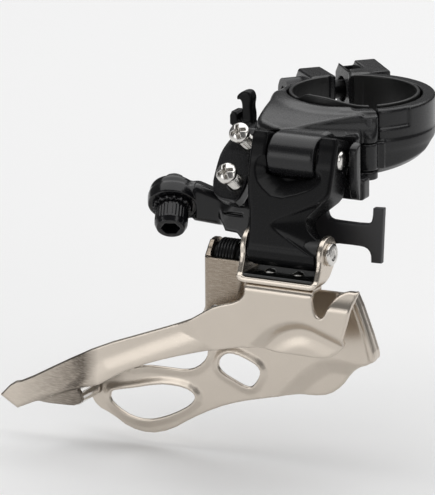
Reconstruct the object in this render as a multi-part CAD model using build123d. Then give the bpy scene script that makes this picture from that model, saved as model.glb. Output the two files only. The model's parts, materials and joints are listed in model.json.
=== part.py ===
from build123d import *
import os
from math import cos, radians, sin

# Front derailleur for a seat tube, as separate parts. Millimetres.
# Frame: Z is the seat tube's axis, up. +X is the front of the bicycle and +Y is inboard, from the
# chainrings to the frame. The origin is on the tube's axis, inside the clamp.

# Clamp
TUBE_R = 15.9            # seat tube, 31.8 across
BORE_R = 17.5            # clamp without its liner, for a tube 34.9 across
LINER_R = 17.45
RING_R = 20.9
RING_TOP = 5.2
BAND_LOW = -5.1          # lower edge of the band beyond its slanted part
JAW_LOW = -12.0          # lower edge of the clamp beside its hinge
LINER_LOW, LINER_TOP = -4.5, 5.9
LINER_CREST = 7.6        # top of the raised part of the rear liner
CREST_ANGLES = (238, 300)
HINGE_ANGLE, HINGE_R = -57.0, 21.5
HINGE_X = HINGE_R * cos(radians(HINGE_ANGLE))
HINGE_Y = HINGE_R * sin(radians(HINGE_ANGLE))
HINGE_PIN_R, KNUCKLE_R = 1.5, 2.8
KNUCKLE_LOW, KNUCKLE_TOP = -9.6, -2.6
GAP = 0.3                # between parts that move past each other
SPLIT_ANGLE = -48.5      # where the band starts, beside the hinge
LUG_ANGLE = 135.0        # where the clamp bolt closes the ring
LUG_OUT = 32.0
BOLT_R, BOLT_FROM_AXIS, BOLT_Z = 2.5, 26.6, -0.8
NUT_SIDE, NUT_START, NUT_END = 8.0, 6.8, 11.0
FIXED_LUG, BAND_LUG = (-4.9, 1.7), (6.4, 17.0)
BOLT_HEAD, BOLT_HEAD_R = 5.0, 4.25
BOLT_HOLE_R = 3.3         # the loose hole that lets the band swing off the bolt

# Linkage: a parallelogram of two links that turn about X
LINK = 23.5
LEAN = 19.5              # the links' lean outboard at rest, in degrees
OUTER_TOP = (-38.0, -2.4)            # Y and Z of the outer link's upper pivot
INNER_SHIFT = (9.0, -6.5)            # from an outer pivot to the inner one, Y and Z
FALL = (-sin(radians(LEAN)), -cos(radians(LEAN)))
OUTER_LOW = (OUTER_TOP[0] + LINK * FALL[0], OUTER_TOP[1] + LINK * FALL[1])
INNER_TOP = (OUTER_TOP[0] + INNER_SHIFT[0], OUTER_TOP[1] + INNER_SHIFT[1])
INNER_LOW = (OUTER_LOW[0] + INNER_SHIFT[0], OUTER_LOW[1] + INNER_SHIFT[1])
BARREL_R, BARREL_LEFT, BARREL_RIGHT = 5.5, -4.5, 8.5
EAR_R = 5.2
PIN_R, FIT = 2.4, 0.05   # FIT is the radial clearance of a running fit
BUSH_R = 3.3
LOW_PIN_R = 2.3
BOSS_R = 4.7             # the outer link's lower boss
INNER_PIN_R, INNER_LOW_PIN_R = 1.8, 1.5
OPEN_PIVOT_R = 2.2       # the loose hole at the inner link's lower pivot

# Boss of the limit screws: a block square to the screws, outboard of the inner pivot
BOSS_X = (-21.0, -11.1)
SCREW_LEAN = 35.6        # the screws' rise above the outboard direction, in degrees
SCREW_DIR = (-cos(radians(SCREW_LEAN)), sin(radians(SCREW_LEAN)))
BOSS_DIR = (-sin(radians(SCREW_LEAN)), -cos(radians(SCREW_LEAN)))
BOSS_FACE, BOSS_BACK = 8.6, 4.5      # distances from the inner pivot along the screws
SCREW_HEAD_TOP = 16.7
SCREW_R, SCREW_HEAD_R = 1.9, 2.8
# Each screw's distance along the boss, its X, and its tip's distance from the inner pivot's level
SCREWS = {"limit_screw_high": (-2.8, -13.7, 5.1), "limit_screw_low": (8.2, -14.2, 2.4)}

# Cage
PLATE = 1.3
OUTER_Y = -53.6          # outboard face of the outer plate
INNER_Y = -42.0          # outboard face of the inner plate
SHELF_TOP = -30.9
SHELF = 1.5
TAB_Y = -34.2            # inboard end of the bracket's tab for the setting block
TAIL_X, TAIL_Z = -54.9, -69.8
TAIL_SCREW_R = 1.4
RIVET_R = 1.0
RIVET_PLACES = ((-1.0, -48.2), (6.6, -47.8))     # X and Y, through the shelf and the outer plate
FACE_RIVETS = ((-18.6, -44), (-14.2, -44))       # X and Z, through the rear bracket and the inner plate

# Cable anchor, on the inner link's arm
ANCHOR = Vector(-33.6, -37.2, -17.6)
ANCHOR_DIR = Vector(0.29, -0.74, -0.61)
ANCHOR_BOLT_R = 2.5


def rod(yz, left, right, radius):
    """A cylinder along X about the point yz."""
    middle = Pos((left + right) / 2, yz[0], yz[1])
    return middle * Rot(0, 90, 0) * Cylinder(radius, right - left)


def across(points, left, right):
    """An outline of (Y, Z) points, extruded along X."""
    plane = Plane(origin=(left, 0, 0), x_dir=(0, 1, 0), z_dir=(1, 0, 0))
    return extrude(plane * make_face(Polyline(*points, close=True)), right - left)


def sheet(outline, outboard, thickness):
    """An outline of (X, Z, corner radius), extruded inboard along Y from its outboard face."""
    points = [(x, z) for x, z, _ in outline]
    radii = [radius for _, _, radius in outline]
    plane = Plane(origin=(0, outboard + thickness, 0), x_dir=(1, 0, 0), z_dir=(0, -1, 0))
    return extrude(plane * make_face(FilletPolyline(*points, radius=radii, close=True)), thickness)


def slab(outline, outboard, thickness):
    """As sheet, from an outline of (X, Z) with sharp corners."""
    plane = Plane(origin=(0, outboard + thickness, 0), x_dir=(1, 0, 0), z_dir=(0, -1, 0))
    return extrude(plane * make_face(Polyline(*outline, close=True)), thickness)


def flat(outline, low, top):
    """An outline of (X, Y) points, extruded along Z."""
    plane = Plane.XY.offset(low)
    return extrude(plane * make_face(Polyline(*outline, close=True)), top - low)


def ring(inner, outer, low, top, start, end):
    """A piece of a ring about Z between two angles in degrees."""
    section = Rot(90, 0, 0) * Rectangle(outer - inner, top - low)
    section = Pos((inner + outer) / 2, 0, (low + top) / 2) * section
    return Rot(0, 0, start) * revolve(section, Axis.Z, end - start)


def post(x, y, low, top, radius):
    """A cylinder along Z."""
    return Pos(x, y, (low + top) / 2) * Cylinder(radius, top - low)


def peg(start, direction, length, radius):
    """A cylinder from a point along a direction."""
    place = Plane(origin=start, z_dir=direction)
    return place * Pos(0, 0, length / 2) * Cylinder(radius, length)


def from_pivot(yz, along_screws, along_boss):
    """A (Y, Z) point, measured from yz along the limit screws and along their boss."""
    y = yz[0] + along_screws * SCREW_DIR[0] + along_boss * BOSS_DIR[0]
    z = yz[1] + along_screws * SCREW_DIR[1] + along_boss * BOSS_DIR[1]
    return (y, z)


def link_plane(yz):
    """A plane across a link: its x is the row's X, its y runs up the link, its z outboard."""
    return Plane(origin=(0, yz[0], yz[1]), x_dir=(1, 0, 0), z_dir=(0, FALL[1], -FALL[0]))


def on_link(outline, yz, low, high):
    """An outline of (X, distance down the link), extruded outboard from low to high."""
    points = [(x, -down) for x, down in outline]
    plane = link_plane(yz).offset(low)
    return extrude(plane * make_face(Polyline(*points, close=True)), high - low)


def bolt_direction():
    """Along the clamp bolt, from its head to its tip."""
    turn = radians(LUG_ANGLE)
    return Vector(sin(turn), -cos(turn), 0)


def on_bolt(distance):
    """A point on the clamp bolt's axis, at a distance past the clamp's gap plane."""
    turn = radians(LUG_ANGLE)
    middle = Vector(BOLT_FROM_AXIS * cos(turn), BOLT_FROM_AXIS * sin(turn), BOLT_Z)
    return middle + bolt_direction() * distance


def bolt_rod(start, end, radius):
    """A cylinder on the clamp bolt's axis."""
    return peg(on_bolt(start), bolt_direction(), end - start, radius)


def lug_block(outline, start, end):
    """An outline of (distance from Z, height) at the clamp bolt, extruded along the bolt."""
    turn = radians(LUG_ANGLE)
    out = (cos(turn), sin(turn), 0)
    plane = Plane(origin=bolt_direction() * start, x_dir=out, z_dir=bolt_direction())
    return extrude(plane * make_face(Polyline(*outline, close=True)), end - start)


def limit_screw_place(along_boss, x):
    """The point on a limit screw's axis that is level with the inner pivot."""
    y, z = from_pivot(INNER_TOP, 0, along_boss)
    return Vector(x, y, z)


def main_body():
    """Half of the clamp, the saddle, the upper pivots' housings and the boss of the limit screws."""
    saddle_plan = [
        (-19.6, -6), (-17.6, -11), (-14.6, -23.5), (-12.9, -31.5), (-4.5, -35), (-4.5, -38),
        (8.5, -38), (8.5, -31.4), (15.6, -31.4), (15.6, -34.4), (17, -34.2), (12.2, -23.4),
        (11.4, -20.5), (10, -8),
    ]
    saddle_side = [
        (-6, RING_TOP), (-17.5, RING_TOP - 0.1), (-26, 4.3), (-33, 3.3), (-38, 2.8),
        (-38, -12.4), (-33, -12.4), (-27, -11), (-22, -11), (-17, JAW_LOW), (-6, -7.5),
    ]
    body = flat(saddle_plan, -12.4, RING_TOP) & across(saddle_side, -22, 19)
    body += ring(BORE_R - 0.5, RING_R, -7.5, RING_TOP, LUG_ANGLE + 1.5, 290)
    body += ring(BORE_R - 0.5, RING_R, JAW_LOW, RING_TOP, -75, SPLIT_ANGLE - 1.6)
    body += post(HINGE_X, HINGE_Y, JAW_LOW, RING_TOP - 1, KNUCKLE_R)
    body += rod(OUTER_TOP, BARREL_LEFT, BARREL_RIGHT, BARREL_R)
    body += fin()
    fixed_lug = [
        (18, -7), (LUG_OUT - 3, -7), (LUG_OUT, -4.5), (LUG_OUT, 2.5), (LUG_OUT - 2.5, 5), (18, 4.8),
    ]
    body += lug_block(fixed_lug, *FIXED_LUG)
    body += screw_boss()
    body -= post(0, 0, -15, 12, BORE_R)
    return body - body_cuts() + rear_web()


def fin():
    """The plate beside the outer link's front ear."""
    outline = [
        (-35.8, 1.4), (-34.8, 2.8), (-30, 3.3), (-30, -12.2), (-33.2, -13.6), (-34.8, -13.4), (-35.8, -9),
    ]
    return across(outline, 15, 17.2)


def rear_web():
    """The cross bar behind the outer link, from the screws' boss to the fin."""
    return across([(-28.6, -15), (-24.4, -15), (-24.4, -9.4), (-28.6, -9.4)], BOSS_X[1], 15.4)


def screw_boss():
    """The block that the limit screws go through, with the two ears of the inner link's upper pivot."""
    boss = [
        (-14, 3), (-24, 2.6), (-31, 0.6),
        from_pivot(INNER_TOP, BOSS_FACE, -5.2), from_pivot(INNER_TOP, BOSS_FACE, 13.3),
        from_pivot(INNER_TOP, BOSS_BACK, 13.3), from_pivot(INNER_TOP, BOSS_BACK, 0),
        (-25, -5), (-20, -7), (-14, -6),
    ]
    piece = across(boss, *BOSS_X)
    front = [
        (-11.1, -30), (-17.5, -30), (-18.4, -3.6), (-20.9, 0.3), (-20.9, 6.3), (-19.8, 11.3), (-17.8, 13.3),
        (-11.1, 13.3),
    ]
    place = Plane(origin=(0, *INNER_TOP), x_dir=(1, 0, 0), z_dir=(0, *SCREW_DIR))
    points = [(x, -along) for x, along in front]
    room = extrude(place * make_face(Polyline(*points, close=True)), 40, both=True)
    piece = (piece & room) + (piece & Pos(-16, -22, 0) * Box(12, 16, 20))
    ear = [(-22, -4), (-33, -4), (-33.4, -9.5), (-31.5, -13.5), (-27, -14.2), (-24.3, -11)]
    for left, right in ((BOSS_X[0], -18.8), (-13.3, BOSS_X[1])):
        piece += across(ear, left, right)
    return piece


def body_cuts():
    """What is taken out of the body: bores, and room for its neighbours."""
    cuts = rod(OUTER_TOP, -12, 12, BUSH_R) + link_sweep()
    for left, right in ((-11, BARREL_LEFT), (BARREL_RIGHT, 14.8)):
        cuts += rod(OUTER_TOP, left, right, EAR_R + 0.8)
    cuts += cable_guide()
    cuts += rod(INNER_TOP, -18.8, -13.3, 5.2)
    cuts += rod(INNER_TOP, -22, -10, INNER_PIN_R)
    cuts += post(HINGE_X, HINGE_Y, -12, 8, HINGE_PIN_R)
    cuts += hinge_pocket()
    cuts += scoop()
    cuts += bolt_rod(-8, 3, BOLT_R + 0.2)
    for along, x, _ in SCREWS.values():
        cuts += peg(limit_screw_place(along, x), (0, *SCREW_DIR), 12, SCREW_R + FIT)
    return cuts


def link_sweep():
    """The room that the outer link's upper end needs when it swings inboard under the body."""
    y, z = OUTER_TOP
    under = [(y, z), (y, -14), (-24, -14), (-24, -10.2), (y + 7.4, z - 3.2), (y + 6.8, z - 1.2)]
    return across(under, -10.8, 14.6) - rod(OUTER_TOP, BARREL_LEFT, BARREL_RIGHT, BARREL_R)


def hinge_pocket():
    """The fork that the band's knuckle turns in, open outboard and to the front."""
    low, top = KNUCKLE_LOW - GAP, KNUCKLE_TOP + GAP
    hinge = Pos(HINGE_X, HINGE_Y, (low + top) / 2) * Rot(0, 0, HINGE_ANGLE)
    pocket = post(HINGE_X, HINGE_Y, low, top, KNUCKLE_R + 0.5)
    pocket += hinge * Pos(-2, 3.8, 0) * Box(4.6, 7.6, top - low)
    return pocket + hinge * Pos(4.1, 2.2, 0) * Box(9, 11, top - low)


def scoop():
    """The tapering hollow in the top of the body, between the barrel and the clamp's hinge."""
    start, end = Vector(-3, -31.6, 5.2), Vector(17, -22.2, 5.2)
    place = Plane(origin=(start + end) / 2, z_dir=end - start)
    return place * Cone(0.5, 5.6, (end - start).length)


def clamp_band():
    """The front half of the clamp, which opens on the hinge pin."""
    band = ring(BORE_R, RING_R, BAND_LOW, RING_TOP, SPLIT_ANGLE, LUG_ANGLE - 16)
    skirt = ring(BORE_R, RING_R, JAW_LOW - 0.2, BAND_LOW, SPLIT_ANGLE, 24)
    slope = Plane(origin=(13.8, -16, JAW_LOW - 0.2), x_dir=(1, 0, 0), z_dir=(0, -0.27, 1))
    skirt -= slope * Pos(0, 0, -10) * Box(80, 80, 20)
    band += skirt
    turn = Pos(HINGE_X, HINGE_Y, (KNUCKLE_LOW + KNUCKLE_TOP) / 2) * Rot(0, 0, HINGE_ANGLE)
    band += post(HINGE_X, HINGE_Y, KNUCKLE_LOW, KNUCKLE_TOP, KNUCKLE_R)
    band += turn * Pos(-1.6, 2.3, 0) * Box(4.4, 4.6, KNUCKLE_TOP - KNUCKLE_LOW)
    lug = [
        (16, BAND_LOW), (LUG_OUT - 3, -6.5), (LUG_OUT, -4), (LUG_OUT, 3), (LUG_OUT - 2.5, 5.9), (21, 5.9),
        (16, RING_TOP),
    ]
    band += lug_block(lug, *BAND_LUG)
    band -= nut_block(NUT_SIDE + 6)
    band -= post(0, 0, -15, 12, BORE_R)
    band -= post(HINGE_X, HINGE_Y, -14, 8, HINGE_PIN_R + FIT)
    return band - bolt_rod(3, 18, BOLT_HOLE_R)


def nut_block(height):
    """A square block round the clamp bolt, as wide as the nut, from the nut's base up."""
    low, high = BOLT_FROM_AXIS - NUT_SIDE / 2, BOLT_FROM_AXIS + NUT_SIDE / 2
    base = BOLT_Z - NUT_SIDE / 2
    outline = [(low, base), (high, base), (high, base + height), (low, base + height)]
    return lug_block(outline, NUT_START, NUT_END)


def clamp_nut():
    return nut_block(NUT_SIDE) - bolt_rod(3, 16, BOLT_HOLE_R)


def clamp_bolt():
    head = FIXED_LUG[0] - BOLT_HEAD
    bolt = bolt_rod(FIXED_LUG[0], NUT_END + 0.6, BOLT_R) + bolt_rod(head, FIXED_LUG[0], BOLT_HEAD_R)
    return bolt - hexagon_socket(on_bolt(head), bolt_direction(), 2.3, 2.5)


def hexagon_socket(start, direction, radius, depth):
    """A six-sided socket, sunk from a point along a direction."""
    return extrude(Plane(origin=start, z_dir=direction) * RegularPolygon(radius, 6), depth)


def liner(start, end):
    return ring(TUBE_R, LINER_R, LINER_LOW, LINER_TOP, start, end)


def rear_liner():
    """The half of the liner in the body, with the raised part of its top edge."""
    crest = ring(TUBE_R, LINER_R, LINER_TOP - 0.5, LINER_CREST, *CREST_ANGLES)
    return liner(LUG_ANGLE + 4, 360 + SPLIT_ANGLE - 4) + crest


def cable_guide():
    """The hook that the cable lies in, and its low step."""
    stem = [
        (-23.2, -2.6), (-20.4, -2.6), (-20.2, 5.8), (-21.2, 7.2), (-24.4, 6.6), (-24.8, 4.2),
        (-23.2, 3.8),
    ]
    step = [(-26.0, -2.6), (-20.4, -2.6), (-20.4, -0.8), (-23.8, -0.6), (-24, 2), (-26.2, 1.6)]
    return slab(stem, -18.6, 3.4) + slab(step, -19.8, 4.6)


def limit_screw(along_boss, x, tip):
    """A cross-head screw with a domed head, its tip towards the inner link."""
    foot = limit_screw_place(along_boss, x)
    out = Vector(0, *SCREW_DIR)
    rim, dome = SCREW_HEAD_TOP - 2.6, SCREW_HEAD_TOP - 1.0
    screw = peg(foot + out * tip, out, rim - tip, SCREW_R)
    screw += peg(foot + out * rim, out, dome - rim, SCREW_HEAD_R)
    place = Plane(origin=foot + out * (dome + 0.5), z_dir=out)
    screw += place * Cone(SCREW_HEAD_R, SCREW_R, SCREW_HEAD_TOP - dome)
    cross = Plane(origin=foot + out * SCREW_HEAD_TOP, x_dir=(1, 0, 0), z_dir=out)
    for turn in (20, 110):
        screw -= cross * Rot(0, 0, turn) * Box(3.2, 0.8, 2.6)
    return screw


def outer_link():
    """The front link: two ears round the body's barrel, and a boss at its lower end."""
    back = [
        (-9.4, -6), (-4.9, -6), (-4.9, 6), (8.9, 6), (8.9, -6), (14, -6), (14, 8.5), (12.4, 11.1),
        (7.7, 15.3), (8, 17.7), (10.4, 20.1), (11.9, 20.3), (11.9, 30), (-6.6, 30), (-6.6, 18.3), (-9, 9),
    ]
    face = back[:2] + [(-4.9, 6.4), (0.6, 10.8), (8.9, 7.8)] + back[4:]
    link = on_link(back, OUTER_TOP, -7, 1.5) + on_link(face, OUTER_TOP, 1.5, 7)
    limits = rod(OUTER_TOP, -12, 15, EAR_R) + rod(OUTER_LOW, -12, 15, BOSS_R)
    limits += link_plane(OUTER_TOP) * Pos(0, -LINK / 2, 0) * Box(40, LINK, 2 * BOSS_R)
    link &= limits
    link -= rod(OUTER_TOP, -4.9, 8.9, BARREL_R + GAP)
    link -= on_link([(-5, 14), (5.2, 14), (5.2, 17), (-4.6, 17)], OUTER_TOP, -7, 1.4)
    link -= rod(OUTER_TOP, -12, 15, PIN_R)
    return link - rod(OUTER_LOW, -12, 15, BUSH_R)


def inner_link():
    """The rear link, and the arm that carries the cable anchor."""
    neck = [
        (-18.5, 0), (-13.6, 0), (-13.6, 6.6), (-12, 7.8), (-12, LINK), (-13.9, LINK), (-13.9, 17.6),
        (-20.8, 17.6), (-20.8, 6.8), (-18.5, 6.4),
    ]
    link = rod(INNER_TOP, -18.5, -13.6, 4.2) + on_link(neck, INNER_TOP, -3, 3)
    link += rod(INNER_LOW, -13.9, -12, 3.7)
    for place in (10.6, 14.6):
        low, high = place - 1.2, place + 1.2
        link -= on_link([(-19, low), (-16, low), (-16, high), (-19, high)], INNER_TOP, 1.2, 4)
    root = Plane(origin=(-20, -32.4, -20.6), x_dir=(0, 1, 0), z_dir=(-1, 0, 0))
    end = Plane(origin=(-30, -36.4, -17.4), x_dir=(0, 1, 0), z_dir=(-1, 0, 0))
    link += loft([root * RectangleRounded(5.8, 8, 1.5), end * RectangleRounded(6.6, 10.4, 2)])
    link += peg(ANCHOR - ANCHOR_DIR * 3.6, ANCHOR_DIR, 6.2, 6.2)
    link -= peg(ANCHOR + ANCHOR_DIR * 2.6, ANCHOR_DIR, 12, 6)
    link -= peg(ANCHOR - ANCHOR_DIR * 8, ANCHOR_DIR, 14, ANCHOR_BOLT_R + FIT)
    link -= rod(INNER_TOP, -20, -12, INNER_PIN_R + FIT)
    return link - rod(INNER_LOW, -15, -11, OPEN_PIVOT_R)


def anchor_washer():
    """The notched washer that presses on the cable."""
    face = ANCHOR + ANCHOR_DIR * 2.65
    washer = peg(face, ANCHOR_DIR, 1.5, 5.2)
    for turn in range(0, 360, 30):
        place = Plane(origin=face + ANCHOR_DIR * 0.75, z_dir=ANCHOR_DIR) * Rot(0, 0, turn)
        washer -= place * Pos(5.4, 0, 0) * Box(1.2, 1.0, 2)
    return washer - peg(face - ANCHOR_DIR, ANCHOR_DIR, 4, ANCHOR_BOLT_R)


def anchor_bolt():
    head = ANCHOR + ANCHOR_DIR * 4.15
    bolt = peg(head, ANCHOR_DIR, 5.6, 4.1) + peg(ANCHOR - ANCHOR_DIR * 6, ANCHOR_DIR, 10.2, ANCHOR_BOLT_R)
    return bolt - hexagon_socket(head + ANCHOR_DIR * 5.6, -ANCHOR_DIR, 2.4, 3)


def outer_plate():
    """The outboard side of the cage, with its folded edge under the shelf and a lip at the tail."""
    outline = [
        (-5.4, -32.4, 1), (-6.8, -37.4, 2.5), (-15.9, -40.2, 6), (-22.6, -44.2, 8), (-47, -54.8, 30),
        (-69.4, -67.6, 3),
        (-73.2, -67.9, 1), (-77.1, -71.7, 0.5), (-71.6, -74.7, 4), (-55, -66.6, 8), (-46.4, -64.6, 6),
        (-37.6, -58.4, 8), (-25, -54, 20), (-5.6, -49.1, 3), (-0.6, -50.9, 4), (15.6, -50.3, 4),
        (20.6, -45.6, 4),
        (24.1, -32, 0.8), (21, -32.2, 1), (17.2, -35.2, 1.5), (15.2, -39.4, 1.2), (13, -38.8, 1),
        (12.6, -32.4, 0.5),
    ]
    plate = sheet(outline, OUTER_Y, PLATE)
    lip = [(-68, -71, 1), (-54.6, -66, 1), (-52.4, -69, 1.5), (-53.4, -71.8, 1.2), (-64.6, -72, 3)]
    plate += sheet(lip, OUTER_Y + PLATE, PLATE)
    under = SHELF_TOP - SHELF
    plate += flat([(-5.2, OUTER_Y), (12.4, OUTER_Y), (12.4, -46.5), (-5.2, -46.5)], under - PLATE, under)
    plate -= rivet_holes()
    return plate - tail_hole()


def tail_hole():
    return peg((TAIL_X, OUTER_Y - 2, TAIL_Z), (0, 1, 0), 16, TAIL_SCREW_R)


def rivet_holes():
    holes = Part()
    for x, y in RIVET_PLACES:
        holes += post(x, y, SHELF_TOP - 6, SHELF_TOP + 1, RIVET_R)
    return holes


def inner_plate():
    """The inboard side of the cage, with three openings, a front flange and the bridge over the chain."""
    outline = [
        (17.8, -35.6, 0.8), (24.4, -51.8, 2.5), (17, -57.4, 3), (12.5, -62.9, 3), (5, -65, 5),
        (-9, -67.4, 15),
        (-26, -73.6, 12), (-38, -80.6, 8), (-46.8, -79.6, 6), (-54.4, -76, 1.5), (-57, -71.4, 2),
        (-54.4, -64.4, 3),
        (-41, -55.6, 10), (-28, -49.4, 6), (-22.4, -45.2, 2), (-22.4, -36, 0.8),
    ]
    plate = sheet(outline, INNER_Y, PLATE)
    tail_opening = [
        (-52.8, -72.6, 1.5), (-44, -78, 4), (-34.4, -75.3, 5), (-26, -69.2, 1.2), (-33, -66.4, 5),
        (-44, -68.2, 6),
    ]
    slanted_opening = [
        (-20.2, -58.4, 2), (-17.8, -63.2, 2), (-10.8, -66, 2), (-6.3, -60, 2), (-10, -56.2, 2),
        (-15.5, -54.6, 2),
    ]
    upper_opening = [
        (-44.4, -63.1, 0.8), (-27.5, -61.9, 3), (-21.8, -57, 1.5), (-22.6, -53, 1.5), (-31, -53.6, 4),
    ]
    for opening in (tail_opening, slanted_opening, upper_opening):
        plate -= sheet(opening, INNER_Y - 1, PLATE + 2)
    plate += slab([(17.2, -36.4), (18.6, -35.8), (24.6, -51), (23.2, -51.6)], INNER_Y, 4.6)
    near, far = INNER_Y + PLATE, OUTER_Y + PLATE
    plate += flat([(13.2, near), (17.8, near), (21.5, far), (17.6, far)], -37.2, -35.9)
    for x, z in FACE_RIVETS:
        plate -= peg((x, INNER_Y - 3, z), (0, 1, 0), 6, RIVET_R)
    return plate - tail_hole()


def cage_bracket():
    """The bent sheet that joins the plates and holds both lower pivots."""
    left, right = -8.4, 14.1
    shelf = [
        (-6.9, -53), (12.6, -53), (14.1, -51.5), (14.1, -47.5), (12.6, -46), (12.6, -41.4),
        (9.6, -41.4), (9.6, TAB_Y), (3.6, TAB_Y), (3.6, -41.4), (-11.8, -41.4),
        (-11.8, INNER_Y - SHELF), (-8.4, INNER_Y - SHELF), (-8.4, -51.5),
    ]
    bracket = flat(shelf, SHELF_TOP - SHELF, SHELF_TOP)
    y, z = OUTER_LOW
    ear = [(y - 4.5, z - 0.8), (y - 5.6, SHELF_TOP - 1.2), (y - 1.6, SHELF_TOP - 1.2), (y + 4.5, z - 0.8)]
    for edge in (left, right - SHELF):
        bracket += rod(OUTER_LOW, edge, edge + SHELF, 4.6) + across(ear, edge, edge + SHELF)
    bracket += rear_bracket()
    bracket -= rod(OUTER_LOW, -10, 15, LOW_PIN_R)
    for x, z in FACE_RIVETS:
        bracket -= peg((x, INNER_Y - 4, z), (0, 1, 0), 5, RIVET_R)
    return bracket - rivet_holes()


def rear_bracket():
    """The part that carries the return spring: an upright face between two ears."""
    left, right = -22.4, -10.3
    y, z = INNER_LOW
    face = Pos((left + right) / 2, INNER_Y - SHELF / 2, -38.6) * Box(right - left, SHELF, 14.3)
    ear = [
        (y - 2, z + 4), (INNER_Y - SHELF, -31.45), (INNER_Y - SHELF, -35.2), (y, -35.6), (y + 4, z - 2),
    ]
    for edge in (left, right - 1.3):
        face += rod(INNER_LOW, edge, edge + 1.3, 4.5) + across(ear, edge, edge + 1.3)
    return face - rod(INNER_LOW, -24, -9, INNER_LOW_PIN_R)


def bracket_plate():
    plate = flat([(-6.7, -52.6), (12.4, -52.6), (12.4, -42.6), (-6.7, -42.6)], SHELF_TOP, SHELF_TOP + 0.8)
    return plate - rivet_holes()


def bracket_rivets():
    rivets = Part()
    for x, y in RIVET_PLACES:
        rivets += post(x, y, SHELF_TOP - SHELF - PLATE - 0.8, SHELF_TOP + 0.8, RIVET_R)
        rivets += Pos(x, y, SHELF_TOP + 1.15) * Cone(1.6, 0.9, 0.7)
    return rivets


def face_rivets():
    rivets = Part()
    for x, z in FACE_RIVETS:
        rivets += peg((x, INNER_Y - SHELF, z), (0, 1, 0), SHELF + PLATE + 0.9, RIVET_R)
        rivets += peg((x, INNER_Y - SHELF - 0.7, z), (0, 1, 0), 0.7, 1.7)
    return rivets


def return_spring():
    """A close-wound coil, as one sleeve with a groove between its turns."""
    turns, first, wire = 6, -20.2, 1.0
    coil = Part()
    for turn in range(turns):
        middle = first + wire * (turn + 0.5)
        coil += rod(INNER_LOW, middle - wire / 2, middle + wire / 2, 4.2)
        coil += rod(INNER_LOW, middle - wire / 3, middle + wire / 3, 4.6)
    coil -= rod(INNER_LOW, -22, -13, 3.5)
    return coil


def tail_spacer():
    tube = peg((TAIL_X, OUTER_Y + 2 * PLATE, TAIL_Z), (0, 1, 0), INNER_Y - OUTER_Y - 2 * PLATE, 2.0)
    return tube - tail_hole()


def tail_screw():
    screw = peg((TAIL_X, OUTER_Y + PLATE, TAIL_Z), (0, 1, 0), INNER_Y - OUTER_Y + 1.2, TAIL_SCREW_R)
    return screw + peg((TAIL_X, INNER_Y + PLATE, TAIL_Z), (0, 1, 0), 1.6, 2.4)


def setting_block():
    """The flat block, slid in from the front, that holds the cage at its height while it is fitted."""
    outline = [
        (5.2, -14.8, 0.5), (8.4, -14.4, 0.5), (9, -18.8, 0.8), (20.6, -18.8, 1.2), (21.1, -14.4, 0.6),
        (24.1, -14.2, 0.4), (23.5, -28.6, 0.4), (20.7, -28.7, 0.6), (20.4, -24.9, 0.8), (8.9, -24.9, 0.8),
        (8.4, SHELF_TOP + FIT, 0.3), (5.2, SHELF_TOP + FIT, 0.3), (5, -24, 0.8),
    ]
    return sheet(outline, -35.5, 2)


def bush(yz, left, right, bore):
    """A plastic bush on a pivot of the outer link."""
    return rod(yz, left, right, BUSH_R) - rod(yz, left - 1, right + 1, bore)


def nodes():
    """Every node's name and shape."""
    made = {
        "main_body": main_body(),
        "clamp_band": clamp_band(),
        "clamp_hinge_pin": post(HINGE_X, HINGE_Y, JAW_LOW, RING_TOP - 1.5, HINGE_PIN_R),
        "clamp_bolt": clamp_bolt(),
        "clamp_nut": clamp_nut(),
        "rear_liner": rear_liner(),
        "front_liner": liner(SPLIT_ANGLE + 3, LUG_ANGLE - 20),
        "cable_guide": cable_guide(),
        "upper_outer_pin": rod(OUTER_TOP, -9.9, 14.5, PIN_R),
        "upper_inner_pin": rod(INNER_TOP, -21.6, -11.1, INNER_PIN_R),
        "upper_pivot_bush": bush(OUTER_TOP, BARREL_LEFT, BARREL_RIGHT, PIN_R + FIT),
        "outer_link": outer_link(),
        "lower_pivot_bush": bush(OUTER_LOW, -6.6, 11.9, LOW_PIN_R + FIT),
        "lower_outer_pin": rod(OUTER_LOW, -9.5, 14.1, LOW_PIN_R) + rod(OUTER_LOW, 14.1, 15.3, 2.9),
        "inner_link": inner_link(),
        "anchor_washer": anchor_washer(),
        "anchor_bolt": anchor_bolt(),
        "outer_plate": outer_plate(),
        "inner_plate": inner_plate(),
        "cage_bracket": cage_bracket(),
        "bracket_plate": bracket_plate(),
        "bracket_rivets": bracket_rivets(),
        "face_rivets": face_rivets(),
        "lower_inner_pin": rod(INNER_LOW, -23, -9.8, INNER_LOW_PIN_R),
        "spring_bush": rod(INNER_LOW, -20.9, -14.2, 3.2) - rod(INNER_LOW, -22, -13, INNER_LOW_PIN_R),
        "return_spring": return_spring(),
        "tail_spacer": tail_spacer(),
        "tail_screw": tail_screw(),
        "setting_block": setting_block(),
    }
    for name, (along_boss, x, tip) in SCREWS.items():
        made[name] = limit_screw(along_boss, x, tip)
    return made


os.makedirs("parts", exist_ok=True)
for node, shape in nodes().items():
    shape.label = node
    export_step(shape, f"parts/{node}.step")
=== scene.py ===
"""A front derailleur's looks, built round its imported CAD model.

Shapes are worked out in millimetres as distance fields on a grid, and turned into meshes in metres.
The frame is the model's own: +X to the front of the bicycle, +Y inboard, +Z up the seat tube.
"""

import json
from math import cos, pi, radians, sin

import bpy
import numpy as np
import openvdb
from mathutils import Matrix, Vector


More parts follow.
